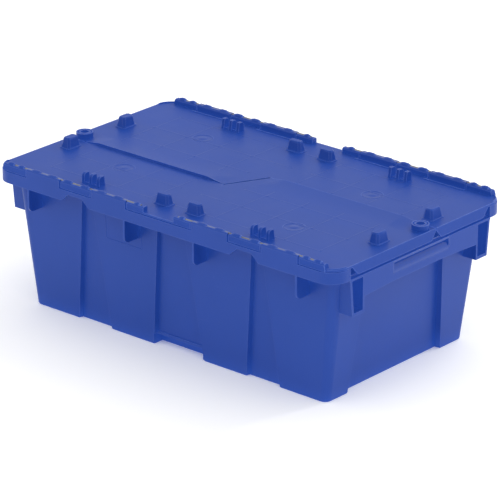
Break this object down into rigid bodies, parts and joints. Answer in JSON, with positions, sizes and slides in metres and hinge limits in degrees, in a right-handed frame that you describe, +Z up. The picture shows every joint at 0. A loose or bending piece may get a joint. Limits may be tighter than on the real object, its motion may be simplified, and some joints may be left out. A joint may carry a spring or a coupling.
{
  "type": "attached-lid nesting container",
  "caption": "Moulded plastic storage container with tapered ribbed walls, end grips, corner pockets and interlocking hinged lid halves carrying stacking lugs.",
  "frame": {"origin": "centre of the underside, on the surface the container stands on", "axes": "+X along the length towards one grip end, -Y towards the front long side, +Z up"},
  "size_m": [0.5, 0.3, 0.1821],
  "materials": {
    "tub_plastic": "fine-grained moulded polyethylene, semi-matt",
    "lid_plastic": "fine-grained moulded polyethylene, semi-matt",
    "hinge_steel": "drawn zinc-plated wire"
  },
  "bodies": {
    "container": {"container_body": "tub_plastic", "front_left_hinge_rod": "hinge_steel", "front_right_hinge_rod": "hinge_steel", "back_left_hinge_rod": "hinge_steel", "back_right_hinge_rod": "hinge_steel"},
    "front_lid": {"front_lid": "lid_plastic"},
    "back_lid": {"back_lid": "lid_plastic"}
  },
  "joints": [
    {"name": "front_lid_hinge", "type": "hinge", "parent": "container", "child": "front_lid", "pos_m": [0, -0.146, 0.175], "axis": [1, 0, 0], "range_deg": [0, 270]},
    {"name": "back_lid_hinge", "type": "hinge", "parent": "container", "child": "back_lid", "pos_m": [0, 0.146, 0.175], "axis": [-1, 0, 0], "range_deg": [0, 270]}
  ],
  "couplings": [
    {"joint": "back_lid_hinge", "follows": "front_lid_hinge", "ratio": 1}
  ]
}
